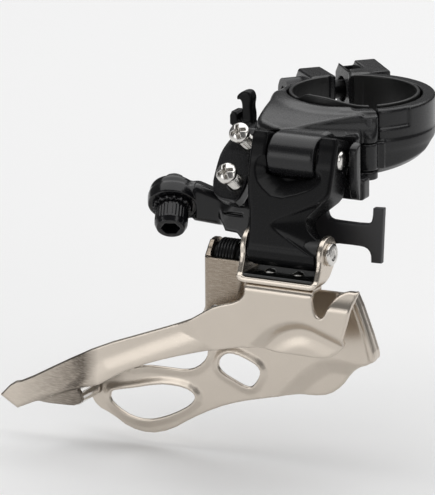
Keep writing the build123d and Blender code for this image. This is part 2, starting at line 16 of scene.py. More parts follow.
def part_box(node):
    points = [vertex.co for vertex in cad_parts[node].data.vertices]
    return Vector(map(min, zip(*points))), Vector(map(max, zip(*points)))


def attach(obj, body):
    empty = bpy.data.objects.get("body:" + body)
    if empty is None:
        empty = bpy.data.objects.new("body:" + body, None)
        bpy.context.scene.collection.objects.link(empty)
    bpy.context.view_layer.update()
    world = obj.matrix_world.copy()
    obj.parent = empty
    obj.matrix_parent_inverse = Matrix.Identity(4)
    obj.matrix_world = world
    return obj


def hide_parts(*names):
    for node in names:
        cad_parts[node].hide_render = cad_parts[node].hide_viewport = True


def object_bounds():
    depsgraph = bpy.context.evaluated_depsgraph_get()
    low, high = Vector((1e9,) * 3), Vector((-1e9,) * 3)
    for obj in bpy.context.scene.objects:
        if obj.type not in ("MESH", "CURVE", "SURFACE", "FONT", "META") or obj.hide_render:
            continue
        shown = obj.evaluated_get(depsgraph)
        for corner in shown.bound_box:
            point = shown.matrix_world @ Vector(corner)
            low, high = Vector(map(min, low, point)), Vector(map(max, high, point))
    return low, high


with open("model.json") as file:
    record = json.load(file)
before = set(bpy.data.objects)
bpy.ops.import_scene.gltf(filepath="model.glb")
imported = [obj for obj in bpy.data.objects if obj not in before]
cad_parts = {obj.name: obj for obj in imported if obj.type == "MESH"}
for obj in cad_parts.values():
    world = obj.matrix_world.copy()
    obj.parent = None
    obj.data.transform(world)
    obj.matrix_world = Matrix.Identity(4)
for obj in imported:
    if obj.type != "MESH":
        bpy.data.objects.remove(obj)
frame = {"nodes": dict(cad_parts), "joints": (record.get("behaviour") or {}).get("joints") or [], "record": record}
cad_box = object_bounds()

MM = 0.001
FAR = 5.0                # a distance that is well outside every shape, in mm
COARSE = 1.0

# ---------------------------------------------------------------- places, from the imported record

JOINTS = {joint["name"]: joint for joint in frame["joints"]}
MOUNTS = {mount["name"]: mount for mount in frame["record"]["mounts"]}


def joint_point(name):
    return np.array(JOINTS[name]["pos_m"]) / MM


def across_pivot(name):
    """A pivot's place across its axis, (Y, Z) in mm."""
    return joint_point(name)[1:]


def low_high(node):
    """A CAD node's lowest and highest corners in mm."""
    low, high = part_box(node)
    return np.array(low) / MM, np.array(high) / MM


OUTER_TOP = across_pivot("outer_link_swing")
INNER_TOP = across_pivot("inner_link_swing")
OUTER_LOW = across_pivot("cage_pivot")
INNER_LOW = OUTER_LOW + INNER_TOP - OUTER_TOP
LINK = np.linalg.norm(OUTER_LOW - OUTER_TOP)
LINK_FALL = (OUTER_LOW - OUTER_TOP) / LINK
HINGE = joint_point("clamp_hinge")[:2]
SCREW_DIR = np.array(JOINTS["high_limit_out"]["axis"])
BOSS_DIR = np.array([0, -SCREW_DIR[2], SCREW_DIR[1]])
ANCHOR_DIR = np.array(JOINTS["anchor_bolt_out"]["axis"])
ANCHOR = np.array(MOUNTS["cable_anchor"]["pos_m"]) / MM - 3.4 * ANCHOR_DIR
BOLT_DIR = -np.array(JOINTS["clamp_bolt_out"]["axis"])
TUBE_R = MOUNTS["seat_tube_clamp"]["dims"]["r_mm"]
BORE_R = TUBE_R + 1.6
RING_R = TUBE_R + 5.0
RING_TOP = low_high("front_liner")[1][2] - 0.7
JAW_LOW = low_high("clamp_hinge_pin")[0][2]
BAND_LOW = JAW_LOW + 6.9
PLATE = 1.3              # thickness of the cage's plates
OUTER_Y = low_high("outer_plate")[0][1]
INNER_Y = low_high("inner_plate")[0][1] + PLATE + 9.0
SHELF_TOP = low_high("bracket_plate")[0][2]

# ---------------------------------------------------------------- distance fields


class Grid:
    """Points on a regular grid that covers a CAD node, as arrays that broadcast together."""

    def __init__(self, node, step):
        low, high = low_high(node)
        self.step = step * COARSE
        self.low = low - 2.5 * self.step
        count = np.ceil((high - self.low) / self.step).astype(int) + 4
        lines = [(self.low[i] + self.step * np.arange(count[i])).astype(np.float32) for i in range(3)]
        self.x, self.y, self.z = np.meshgrid(*lines, indexing="ij", sparse=True)
        self.shape = tuple(count)

    def along(self, origin, direction):
        """Each point's distance from origin along a direction."""
        u = unit(direction)
        return (self.x - origin[0]) * u[0] + (self.y - origin[1]) * u[1] + (self.z - origin[2]) * u[2]

    def radius(self, origin, direction):
        """Each point's distance from an axis."""
        t = self.along(origin, direction)
        square = (self.x - origin[0]) ** 2 + (self.y - origin[1]) ** 2 + (self.z - origin[2]) ** 2
        return np.sqrt(np.maximum(square - t * t, 0))


def unit(v):
    """A vector's direction, one long."""
    v = np.array(v, float)
    return v / np.linalg.norm(v)


def join(first, *others, soft=0.3):
    """A union whose inner corners are filled over a width of soft."""
    for other in others:
        h = np.clip(0.5 + 0.5 * (other - first) / soft, 0, 1)
        first = other * (1 - h) + first * h - soft * h * (1 - h)
    return first


def meet(first, *others, soft=0.3):
    """An intersection whose edges are rounded over a width of soft."""
    return -join(-first, *(-other for other in others), soft=soft)


def cut(first, *others, soft=0.3):
    """The first shape without the others, its new edges rounded over a width of soft."""
    return meet(first, *(-other for other in others), soft=soft)


def slab(values, low, high):
    """Negative where the values are between two limits."""
    return np.maximum(low - values, values - high)


def curve(points, times=2):
    """A closed outline with its corners rounded off; a point given twice keeps a tighter corner."""
    points = np.array(points, float)
    for _ in range(times):
        after = np.roll(points, -1, axis=0)
        points = np.stack([0.75 * points + 0.25 * after, 0.25 * points + 0.75 * after], 1).reshape(-1, 2)
    return points


def outline(u, v, points):
    """The signed distance to a closed outline in a plane, negative inside."""
    square, side = np.inf, False
    for i in range(len(points)):
        (ax, ay), (bx, by) = points[i], points[i - 1]
        ex, ey = bx - ax, by - ay
        if ex * ex + ey * ey < 1e-12:
            continue
        wx, wy = u - ax, v - ay
        t = np.clip((wx * ex + wy * ey) / (ex * ex + ey * ey), 0, 1)
        near = (wx - ex * t) ** 2 + (wy - ey * t) ** 2
        above, below, left = v >= ay, v < by, ex * wy > ey * wx
        turn = (above & below & left) | (~above & ~below & ~left)
        square = np.minimum(square, near)
        side = side ^ turn
    return np.where(side, -1, 1) * np.sqrt(square)


def rod(g, start, end, radius, edge=0.3):
    """A cylinder from start to end with rounded rims."""
    start, end = np.array(start, float), np.array(end, float)
    t = g.along(start, end - start)
    return meet(g.radius(start, end - start) - radius, slab(t, 0, np.linalg.norm(end - start)), soft=edge)


def x_rod(g, yz, left, right, radius, edge=0.3):
    """A cylinder along X about the point yz."""
    r = np.hypot(g.y - yz[0], g.z - yz[1])
    return meet(r - radius, slab(g.x, left, right), soft=edge)


def turned(g, origin, direction, profile):
    """A solid turned about an axis, from an outline of (distance along it, radius)."""
    mirrored = [(t, -r) for t, r in reversed(profile)]
    return outline(g.along(origin, direction), g.radius(origin, direction), list(profile) + mirrored)


def hexagon(g, origin, direction, across, depth):
    """A six-sided hole across the flats, sunk from origin."""
    out = unit(direction)
    side = unit(np.cross(out, (0.3, 0.2, 0.9)))
    up = np.cross(out, side)
    u, v = g.along(origin, side), g.along(origin, up)
    sides = [np.abs(u * cos(a) + v * sin(a)) for a in (0, pi / 3, 2 * pi / 3)]
    return np.maximum(np.maximum.reduce(sides) - across / 2, slab(g.along(origin, out), 0, depth))


def step_in(distance, width):
    """From 0 at the outline to 1 at width inside it, with a smooth slope."""
    t = np.clip(-distance / width, 0, 1)
    return t * t * (3 - 2 * t)


# ---------------------------------------------------------------- meshes


def build(name, body, g, field, node, material):
    """Turns a field into a mesh that rides on a body and stands for a CAD node."""
    volume = openvdb.FloatGrid(FAR)
    volume.copyFromArray(np.array(np.broadcast_to(field, g.shape), dtype=np.float32, order="C"))
    volume.transform = openvdb.createLinearTransform(voxelSize=g.step)
    points, _, quads = volume.convertToPolygons(isovalue=0.0, adaptivity=0.0)
    points = (points + g.low) * MM
    a, b, c = points[quads[:, 0]], points[quads[:, 1]], points[quads[:, 2]]
    if np.einsum("ij,ij->i", a - points.mean(0), np.cross(b - a, c - a)).sum() < 0:
        quads = quads[:, ::-1]
    mesh = bpy.data.meshes.new(name)
    mesh.from_pydata(points.tolist(), [], quads.tolist())
    mesh.validate()
    settle(name, mesh, body, node, material)


def settle(name, mesh, body, node, material):
    """Puts a mesh in the scene with its material, its body and the CAD node it stands for."""
    piece = bpy.data.objects.new(name, mesh)
    bpy.context.scene.collection.objects.link(piece)
    mesh.materials.append(material)
    mesh.polygons.foreach_set("use_smooth", [True] * len(mesh.polygons))
    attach(piece, body)
    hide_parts(node)


# ---------------------------------------------------------------- materials

CLOUD_SIZE, GRAIN_DEPTH = 6.0, 0.05          # mm
EDGES, GROOVES = (0.53, 0.62), (0.49, 0.42)  # how bent a surface is where the painted highlight on edges, or the painted shade in grooves, starts and is full


def shader(
    name, color, roughness, metallic=0.0, shine=0.5, coat=0.0, grain=0.0, grain_size=0.3, mottle=0.15,
    edge_highlight=None, groove_shade=None, tail=None,
):
    """A Principled material: mottled colour, uneven gloss and a fine grain. Sizes are in mm.

    The edge argument is (colour, share) for a painted highlight along edges, and the groove argument is the same
    for painted shade in grooves.
    tail is (colour of a painted shade with brushed streaks, X where it starts, X where it is full, X where it has
    faded again).
    """
    material = bpy.data.materials.new(name)
    material.use_nodes = True
    tree = material.node_tree
    principled = tree.nodes["Principled BSDF"]
    principled.inputs["Metallic"].default_value = metallic
    principled.inputs["Specular IOR Level"].default_value = shine
    principled.inputs["Coat Weight"].default_value = coat
    principled.inputs["Coat Roughness"].default_value = 0.12
    place = tree.nodes.new("ShaderNodeTexCoord").outputs["Object"]
    cloud = noise(tree, place, CLOUD_SIZE, 3)
    fine = noise(tree, place, grain_size, 2)
    dark, light = tuple(c * (1 - mottle) for c in color), tuple(min(c * (1 + mottle), 1) for c in color)
    shown = mixed(tree, cloud, dark, light)
    # Painted shade along X.
    if tail:
        shown = shade_patch(tree, shown, place, *tail)
    # Painted highlight along sharp edges.
    if edge_highlight:
        shown = mix_at_bends(tree, shown, fine, *edge_highlight, *EDGES)
    # Painted shade in grooves and creases.
    if groove_shade:
        shown = mix_at_bends(tree, shown, fine, *groove_shade, *GROOVES)
    tree.links.new(shown, principled.inputs["Base Color"])
    gloss = ranged(tree, fine if grain else cloud, 0, 1, roughness * 0.85, min(roughness * 1.18, 1))
    tree.links.new(gloss, principled.inputs["Roughness"])
    if grain:
        bump = tree.nodes.new("ShaderNodeBump")
        bump.inputs["Strength"].default_value = grain
        bump.inputs["Distance"].default_value = GRAIN_DEPTH * MM
        tree.links.new(fine, bump.inputs["Height"])
        tree.links.new(bump.outputs["Normal"], principled.inputs["Normal"])
    return material


def ranged(tree, value, start, end, low=0.0, high=1.0):
    """A value's way from start to end, as a number from low to high."""
    node = tree.nodes.new("ShaderNodeMapRange")
    for name, number in zip(("From Min", "From Max", "To Min", "To Max"), (start, end, low, high)):
        node.inputs[name].default_value = number
    tree.links.new(value, node.inputs["Value"])
    return node.outputs["Result"]


def multiplied(tree, first, second):
    node = tree.nodes.new("ShaderNodeMath")
    node.operation = "MULTIPLY"
    tree.links.new(first, node.inputs[0])
    tree.links.new(second, node.inputs[1])
    return node.outputs["Value"]


def mixed(tree, factor, first, second):
    """A mix of two colours by a factor; the first is a plain colour or a socket that gives one."""
    node = tree.nodes.new("ShaderNodeMix")
    node.data_type = "RGBA"
    node.inputs["B"].default_value = (*second, 1)
    tree.links.new(factor, node.inputs["Factor"])
    if isinstance(first, tuple):
        node.inputs["A"].default_value = (*first, 1)
    else:
        tree.links.new(first, node.inputs["A"])
    return node.outputs["Result"]


def noise(tree, place, size, detail, stretch=(1, 1, 1)):
    """A noise texture whose features are about size mm across."""
    mapping = tree.nodes.new("ShaderNodeMapping")
    mapping.inputs["Scale"].default_value = stretch
    texture = tree.nodes.new("ShaderNodeTexNoise")
    texture.inputs["Scale"].default_value = 1 / (size * MM)
    texture.inputs["Detail"].default_value = detail
    tree.links.new(place, mapping.inputs["Vector"])
    tree.links.new(mapping.outputs["Vector"], texture.inputs["Vector"])
    return texture.outputs["Fac"]


def shade_patch(tree, shown, place, color, start, end, far):
    """Paints shade in along X as a darker colour with brushed streaks: full at end, fading again towards far.
    Places in mm.
    """
    along = tree.nodes.new("ShaderNodeSeparateXYZ")
    tree.links.new(place, along.inputs["Vector"])
    fade_in = ranged(tree, along.outputs["X"], start * MM, end * MM)
    fade_out = ranged(tree, along.outputs["X"], far * MM, end * MM, low=0.25)
    streaks = ranged(tree, noise(tree, place, 0.35, 3, stretch=(0.2, 1, 1.6)), 0.3, 0.6, low=0.7)
    return mixed(tree, multiplied(tree, fade_in, multiplied(tree, fade_out, streaks)), shown, color)


def mix_at_bends(tree, shown, fine, color, share, start, end):
    """Mixes a colour in where the surface is bent from start to end: 0 is a deep groove, 1 a sharp edge."""
    bend = tree.nodes.new("ShaderNodeNewGeometry").outputs["Pointiness"]
    return mixed(tree, multiplied(tree, ranged(tree, bend, start, end, high=share), fine), shown, color)


NICKEL_COLOR = (0.64, 0.575, 0.50)
# The edge colour is a painted highlight along edges, and the groove colour is painted shade in creases.
NICKEL_LOOK = {
    "metallic": 1.0, "grain": 0.1, "grain_size": 0.2, "edge_highlight": ((0.80, 0.75, 0.68), 0.6),
    "groove_shade": ((0.16, 0.12, 0.085), 1.4),
}

# The edge colours of the blacks below are painted highlights along edges.
SATIN_BLACK = shader(
    "satin_black", (0.010, 0.010, 0.011), 0.26, shine=0.42, grain=0.15, grain_size=0.25,
    edge_highlight=((0.16, 0.16, 0.165), 0.7),
)
LINK_BLACK = shader(
    "link_black", (0.006, 0.006, 0.0065), 0.26, shine=0.17, grain=0.08, grain_size=0.25,
    edge_highlight=((0.15, 0.15, 0.155), 0.7),
)
GLOSS_BLACK = shader("gloss_black", (0.005, 0.005, 0.006), 0.2, shine=0.3, coat=0.25, grain=0.05)
NICKEL = shader("satin_nickel", NICKEL_COLOR, 0.29, mottle=0.03, **NICKEL_LOOK)
# Nickel with painted shade, with brushed streaks, over the outer plate's tail.
SHADED_TAIL_NICKEL = shader(
    "nickel_painted_tail_shade", NICKEL_COLOR, 0.29, mottle=0.03, tail=((0.13, 0.11, 0.09), -47.5, -52, -72), **NICKEL_LOOK
)
# Nickel with painted shade over the rear bracket, for X behind the front ears.
SHADED_REAR_NICKEL = shader(
    "nickel_painted_rear_shade", NICKEL_COLOR, 0.27, mottle=0.05, tail=((0.27, 0.22, 0.17), -9, -13, -60), **NICKEL_LOOK
)
# The groove colour is painted shade in the cross recesses and other grooves.
ZINC = shader(
    "bright_zinc", (0.72, 0.70, 0.67), 0.20, metallic=1.0, mottle=0.06, grain=0.08,
    groove_shade=((0.05, 0.045, 0.04), 2.0),
)
# A near-black sheet that paints the outer link's shade and dark reflection onto the bracket's floor.
SHADE_SHEET = shader("painted_shade_sheet", (0.006, 0.006, 0.006), 0.14, coat=0.3, grain=0.04)
BLACK_SPRING = shader("black_spring", (0.012, 0.012, 0.013), 0.30, metallic=0.3, grain=0.1)
GREY_PLASTIC = shader("grey_plastic", (0.028, 0.028, 0.03), 0.42, grain=0.35, grain_size=0.3, mottle=0.08)
LINER_PLASTIC = shader("liner_plastic", (0.010, 0.010, 0.010), 0.36, grain=0.2, grain_size=0.4)
BUSH_PLASTIC = shader("bush_plastic", (0.03, 0.03, 0.03), 0.5, grain=0.2)

# ---------------------------------------------------------------- clamp

LUG_ANGLE, SPLIT_ANGLE, HINGE_ANGLE = 135.0, -48.5, -57.0    # degrees about Z
LUG_OUT = 32.0                                               # the lugs' ends, from the tube's axis
FIXED_LUG, BAND_LUG = (-4.9, 1.7), (6.4, 17.0)               # from and to, along the clamp bolt
BOLT_OUT, BOLT_Z = 26.6, -0.8                                # the bolt's axis, from the tube's axis and in Z
KNUCKLE, KNUCKLE_R = (-9.6, -2.6), 2.8                       # the hinge's tongue, in Z
BARREL, BARREL_R, EAR_R = (-4.5, 8.5), 5.5, 5.2              # the upper outer pivot, in X
CREST = ((0, 232, 250, 262, 306, 360), (0, 0, 1, 1, 0, 0))   # angles, and how far the liner's edge is up
PIN_HOLE, BOLT_HOLE = 3.3, 2.7


def half_plane(g, degrees):
    """Negative on the anticlockwise side of a line from Z at this angle."""
    a = radians(degrees)
    return g.x * sin(a) - g.y * cos(a)


def sector(g, start, end):
    """Negative between two angles about Z."""
    either = np.maximum if end - start < 180 else np.minimum
    return either(half_plane(g, start), -half_plane(g, end))


def hinge_frame(g):
    """Out from the hinge's pin along HINGE_ANGLE, and square to that."""
    turn, pin = radians(HINGE_ANGLE), (*HINGE, 0)
    return g.along(pin, (cos(turn), sin(turn), 0)), g.along(pin, (-sin(turn), cos(turn), 0))


def lug_frame(g):
    """Along the clamp bolt, and square to it, out from the tube's axis."""
    return g.along((0, 0, 0), BOLT_DIR), g.along((0, 0, 0), np.cross((0, 0, 1), BOLT_DIR))


def bolt_rod(g, start, end, radius):
    """A cylinder on the clamp bolt's axis."""
    axis = BOLT_OUT * np.cross((0, 0, 1), BOLT_DIR) + (0, 0, BOLT_Z)
    return rod(g, axis + start * BOLT_DIR, axis + end * BOLT_DIR, radius, 0.05)


def make_body():
    """The cast half of the clamp, with its saddle, barrel, fin and screw boss."""
    g = Grid("main_body", 0.3)
    plan = [
        (-19.8, -2), (-18.9, -9), (-16.6, -17), (-15.2, -24), (-13.4, -31), (-9, -33.5), (-4.5, -35.5),
        (-4.5, -50), (8.5, -50), (8.5, -33), (9.5, -31.6), (15.2, -31.6), (16.6, -33), (12.6, -24),
        (11.4, -20.6), (10, -8),
    ]
    side = [
        (-4, RING_TOP), (-17, RING_TOP), (-22, RING_TOP - 0.4), (-28, 4.0), (-33, 3.3), (-38, 2.9),
        (-46, 2.0), (-46, -12.2), (-33, -12.4), (-27, -11), (-22, -11), (-17, JAW_LOW), (-4, -7.5),
    ]
    body = meet(outline(g.x, g.y, curve(plan)), outline(g.y, g.z, curve(side)), soft=1.6)
    body = np.maximum(body, OUTER_TOP[0] - g.y)
    r = np.hypot(g.x, g.y)
    rear = meet(r - RING_R, slab(g.z, -7.5, RING_TOP), (r - RING_R + g.z - RING_TOP + 1.9) * 0.71, soft=1.0)
    rear = np.maximum(rear, sector(g, LUG_ANGLE + 1.5, 290))
    jaw = meet(r - RING_R, slab(g.z, JAW_LOW, RING_TOP), soft=0.8)
    jaw = np.maximum(jaw, sector(g, -75, SPLIT_ANGLE - 1.6))
    body = join(body, rear, soft=2.5)
    body = join(body, jaw, rod(g, (*HINGE, JAW_LOW), (*HINGE, RING_TOP - 1), KNUCKLE_R), soft=0.6)
    body = join(body, x_rod(g, OUTER_TOP, *BARREL, BARREL_R, 0.7), soft=0.5)
    fin = [
        (-36.6, -0.6), (-36, 1.0), (-32, 1.8), (-29, 1.6), (-29, -11), (-32.6, -12.6), (-34.6, -13.5),
        (-35.8, -11), (-36.7, -6),
    ]
    front = g.x - 17.2 + 0.55 * np.clip(g.y + 34.2, 0, 9)
    body = join(body, meet(outline(g.y, g.z, curve(fin)), 14.9 - g.x, front, soft=0.3), soft=0.5)
    body = join(body, make_lug(g, FIXED_LUG, -7, 5), soft=1.2)
    body = join(body, screw_boss(g), soft=1.0)
    body = cut(body, r - BORE_R, soft=0.4)
    bar = outline(g.y, g.z, [(-28.6, -15), (-24.4, -15), (-24.4, -9.4), (-28.6, -9.4)])
    return g, join(cut_body(g, body), meet(bar, slab(g.x, -12, 15.6), soft=1.0), soft=0.8)


def cut_body(g, body):
    """Takes out the scoop, the pivots, the pockets of the parts that move, and the screws' holes."""
    start, end = np.array((-1.2, -33.4, 3.5)), np.array((17.5, -23.2, 3.9))
    t = np.clip(g.along(start, end - start) / np.linalg.norm(end - start), 0, 1.1)
    scoop = (g.radius(start, end - start) - 0.2 - 6.7 * t**0.85) * 0.93
    body = cut(body, scoop, soft=0.6)
    u, v = hinge_frame(g)
    pocket = np.minimum(np.hypot(u, v) - KNUCKLE_R - 0.5, np.maximum(slab(u, -4.3, 0.3), slab(v, 0, 7.6)))
    pocket = np.minimum(pocket, np.maximum(slab(u, -0.4, 8.6), slab(v, -3.3, 7.7)))
    body = cut(body, np.maximum(pocket, slab(g.z, KNUCKLE[0] - 0.3, KNUCKLE[1] + 0.3)), soft=0.3)
    y, z = OUTER_TOP
    under = [(y, z), (y, -14), (-24, -14), (-24, -10.2), (y + 7.4, z - 3.2), (y + 6.8, z - 1.2)]
    room = np.maximum(outline(g.y, g.z, under), slab(g.x, -10.8, 14.6))
    body = cut(body, np.maximum(room, -x_rod(g, OUTER_TOP, *BARREL, BARREL_R)), soft=0.4)
    for left, right in ((-11, BARREL[0]), (BARREL[1], 14.8)):
        body = cut(body, x_rod(g, OUTER_TOP, left, right, EAR_R + 0.8, 0.1), soft=0.5)
    body = cut(body, x_rod(g, OUTER_TOP, -12, 12, PIN_HOLE, 0.05),
               x_rod(g, INNER_TOP, -18.8, -13.3, 5.2, 0.05), soft=0.3)
    body = cut(body, x_rod(g, INNER_TOP, -22, -10, 1.8, 0.05), soft=0.2)
    body = cut(body, x_rod(g, (y - 4.9, z - 4.3), BARREL[1] - 1.3, BARREL[1] - 0.5, 0.5, 0.1), soft=0.3)
    body = cut(body, bolt_rod(g, -8, 3, BOLT_HOLE), soft=0.2)
    for node in ("limit_screw_high", "limit_screw_low"):
        foot = screw_foot(node)
        body = cut(body, rod(g, foot - 2 * SCREW_DIR, foot + 13 * SCREW_DIR, 2.0, 0.05), soft=0.2)
    return body


def make_lug(g, span, low, top):
    """A lug of the clamp bolt: a block on the ring, square to the bolt."""
    along, far = lug_frame(g)
    shape = [
        (18, low), (LUG_OUT - 2.5, low), (LUG_OUT, low + 3), (LUG_OUT, top - 3), (LUG_OUT - 2.5, top),
        (18, RING_TOP),
    ]
    return meet(outline(far, g.z + 0 * far, shape), slab(along, *span), soft=0.8)


def screw_foot(node):
    """The point on a limit screw's axis beside the inner pivot."""
    low, high = low_high(node)
    middle = (low + high) / 2
    pivot = np.array((middle[0], *INNER_TOP))
    return pivot + BOSS_DIR * np.dot(middle - pivot, BOSS_DIR)


def screw_boss(g):
    """The block of the limit screws, the ears of the inner pivot, and the foot of the cable guide."""
    pivot = (0, *INNER_TOP)
    s, t = g.along(pivot, SCREW_DIR), g.along(pivot, BOSS_DIR)
    front = [
        (-11.1, -7), (-16.4, -7), (-18, -5.4), (-20.6, -0.4), (-20.9, 4), (-20.7, 9), (-19.4, 12),
        (-16.8, 13.3), (-11.1, 13.3),
    ]
    block = meet(outline(g.x + 0 * t, t, curve(front)), slab(s, 4.5, 8.6), soft=0.7)
    neck = [
        (-13, 2), (-20, 1), (-27, 0.6), (-33, 0.2), (-36, -1.6), (-33, -5), (-27, -6), (-20, -7), (-13, -6),
    ]
    arm = meet(outline(g.y, g.z, curve(neck)), slab(g.x, -17.6, -11.1), s - 8.6, soft=1.0)
    ear = [(-22, -4), (-33, -4), (-33.4, -9.5), (-31.5, -13.5), (-27, -14.2), (-24.3, -11)]
    ears = np.minimum(slab(g.x, -21, -18.8), slab(g.x, -13.3, -11.1))
    foot = [
        (-14, 2), (-17.4, 0.9), (-18.8, -0.7), (-20.4, -2.2), (-21, -2.8), (-20.8, -4.8), (-17.5, -6.2),
        (-14, -7),
    ]
    foot = meet(outline(g.x, g.z, curve(foot)), slab(g.y, -19.8, -15), soft=0.8)
    return join(block, arm, foot, meet(outline(g.y, g.z, curve(ear, 1)), ears, soft=0.4), soft=1.2)


def make_band():
    """The hinged half of the clamp."""
    g = Grid("clamp_band", 0.3)
    r = np.hypot(g.x, g.y)
    band = meet(r - RING_R, slab(g.z, BAND_LOW, RING_TOP), sector(g, SPLIT_ANGLE, LUG_ANGLE - 16), soft=0.8)
    edge = np.maximum(JAW_LOW + 0.19 * (g.y + 16), -9.4 + 0.44 * (g.y + 2)) - g.z
    skirt = np.maximum(np.maximum(edge * 0.93, g.z - BAND_LOW - 2), sector(g, SPLIT_ANGLE, 24))
    skirt = meet(skirt, r - RING_R, (r - RING_R + edge + 2.0) * 0.71, soft=0.3)
    band = join(band, skirt, soft=1.0)
    recess = np.maximum(np.maximum(RING_R - 0.55 - r, slab(g.z, 0.6, RING_TOP + 2)),
                        sector(g, SPLIT_ANGLE - 3, -24))
    band = cut(band, recess, soft=0.9)
    u, v = hinge_frame(g)
    tongue = np.minimum(np.hypot(u, v) - KNUCKLE_R, np.maximum(slab(u, -3.8, 0.6), slab(v, 0, 4.6)))
    band = join(band, meet(tongue, slab(g.z, *KNUCKLE), soft=0.4), soft=0.5)
    band = join(band, make_lug(g, BAND_LUG, -6.5, 5.9), soft=1.2)
    along, far = lug_frame(g)
    pocket = np.maximum(slab(far, BOLT_OUT - 4, BOLT_OUT + 4), slab(g.z, BOLT_Z - 4, 12))
    band = cut(band, np.maximum(pocket, slab(along, 6.8, 11)), soft=0.3)
    band = cut(band, r - BORE_R, soft=0.4)
    band = cut(band, rod(g, (*HINGE, -14), (*HINGE, 8), 1.55, 0.05), soft=0.2)
    return g, cut(band, bolt_rod(g, 3, 18, BOLT_HOLE + 0.6), soft=0.2)


def make_liner(node, start, end):
    """Half of the split liner: a thin wall whose top edge rises over the saddle, with a rib at each end."""
    g = Grid(node, 0.22)
    r = np.hypot(g.x, g.y)
    angle = np.degrees(np.arctan2(g.y, g.x)) % 360
    rise = np.interp(angle, CREST[0], CREST[1]).astype(np.float32)
    top = RING_TOP + 0.5 + 1.8 * rise * rise * (3 - 2 * rise)
    low = low_high(node)[0][2]
    wall = meet(slab(r, TUBE_R, TUBE_R + 0.95), slab(g.z, low, top), soft=0.25)
    rib = meet(slab(r, TUBE_R, TUBE_R + 1.5), slab(g.z, low, RING_TOP - 0.9), soft=0.25)
    ribs = np.minimum(sector(g, start, start + 8), sector(g, end - 8, end))
    return g, np.maximum(join(wall, np.maximum(rib, ribs), soft=0.3), sector(g, start, end))


def make_guide():
    """The hooked cable guide."""
    g = Grid("cable_guide", 0.16)
    hook = [
        (-23.2, -2.6), (-20.4, -2.6), (-20.2, 1), (-20.7, 3.2), (-20.2, 5.4), (-21, 7.3), (-23, 7.2),
        (-24.7, 5.9), (-24.8, 4.6), (-23.6, 4.9), (-23.2, 3), (-23.5, 1),
    ]
    step = [(-26.2, -2.6), (-20.4, -2.6), (-20.4, -0.8), (-23.6, -0.8), (-24, 2), (-26.2, 1.8)]
    hook = meet(outline(g.x, g.z, curve(hook)), slab(g.y, -18.6, -15.2), soft=0.8)
    step = meet(outline(g.x, g.z, curve(step, 1)), slab(g.y, -19.8, -15.2), soft=0.7)
    return g, join(hook, step, soft=0.6)


# ---------------------------------------------------------------- links

LINK_HALF = 4.7                  # half of the outer link's thickness
HOUSING_TOP = 2.6                # the anchor's housing, along its axis
RIBS, RIB_DEPTH = 30, 0.09       # round the anchor bolt's head
HEAD_TOP, HEAD_R = 16.6, 2.75    # a limit screw's head, along its axis from the inner pivot
SCREW_TIPS = {"limit_screw_high": 5.2, "limit_screw_low": 2.5}
THREAD_PITCH, THREAD_DEPTH = 0.7, 0.16


def link_frame(g, yz):
    """Down a link and outboard from its middle plane, from a pivot at yz."""
    pivot = (0, *yz)
    return g.along(pivot, (0, *LINK_FALL)), g.along(pivot, (0, LINK_FALL[1], -LINK_FALL[0]))


def make_outer_link():
    """The front link: two ears round the barrel, a bevelled hollow over it and a hollow cone lower down."""
    g = Grid("outer_link", 0.22)
    down, out = link_frame(g, OUTER_TOP)
    across = g.x + 0 * down
    shape = [
        (-9.4, -7), (-4.9, -7), (-4.9, 4), (-2, 5), (8.9, 4), (8.9, -7), (14, -7), (14, 7.5), (13.6, 9.7),
        (11, 12.1), (7.9, 14.9), (7.4, 16.5), (8.4, 18.5), (10.6, 20.2), (11.9, 20.7), (11.9, 30),
        (-6.6, 30), (-6.6, 21), (-7.2, 16), (-8.8, 10), (-9.4, 4),
    ]
    thick = slab(out, -LINK_HALF, LINK_HALF)
    web = meet(outline(across, down, curve(shape, 1)), thick, soft=1.0)
    ends = join(x_rod(g, OUTER_TOP, -10, 14.1, EAR_R, 0.6), thick, soft=0.6)
    link = meet(web, np.maximum(ends, -down - EAR_R), soft=0.4)
    link = meet(link, np.where(down > LINK, np.hypot(down - LINK, out) - LINK_HALF, -FAR), soft=0.3)
    ledge = [
        (-4.9, 0.6), (-6.8, 1.8), (-7.6, 3.5), (-7.3, 5.6), (-6.0, 8.4), (-0.8, 11.9), (7.0, 9.4),
        (10.4, 7.1), (11.2, 5.5), (10.8, 4.1), (8.9, 3.1), (8.9, -8), (-4.9, -8),
    ]
    bevel = outline(across, down, curve(ledge, 1)) + 1.15 * np.clip(LINK_HALF - out, 0, 9)
    link = cut(link, np.maximum(bevel * 0.68, 0.8 - out), soft=0.12)
    link = cut(link, x_rod(g, OUTER_TOP, -4.9, 8.9, BARREL_R + 0.3, 0.1), soft=0.3)
    cone = np.hypot(down - 18.1, 1.9 * (out - 5.0)) - 0.50 * (across + 2.2)
    link = cut(link, np.maximum(cone / 1.5, 0.6 - out), soft=0.15)
    slot = np.maximum(outline(across, down, [(-5, 14), (5.2, 14), (5.2, 17), (-4.6, 17)]),
                      slab(out, -7, 1.2))
    link = cut(link, slot, x_rod(g, OUTER_TOP, -12, 15, 2.4, 0.05), soft=0.25)
    ring = np.hypot(np.hypot(g.y - OUTER_TOP[0], g.z - OUTER_TOP[1]) - 2.9, g.x - 14) - 0.45
    return g, cut(link, x_rod(g, OUTER_LOW, -12, 15, PIN_HOLE, 0.05), ring, soft=0.2)


def anchor_rod(g, start, end, radius, edge=0.05):
    """A cylinder on the cable anchor's axis."""
    return rod(g, ANCHOR + start * ANCHOR_DIR, ANCHOR + end * ANCHOR_DIR, radius, edge)


def anchor_angle(g):
    """The angle about the cable anchor's axis."""
    side = unit(np.cross(ANCHOR_DIR, (1, 0, 0)))
    return np.arctan2(g.along(ANCHOR, np.cross(ANCHOR_DIR, side)), g.along(ANCHOR, side))


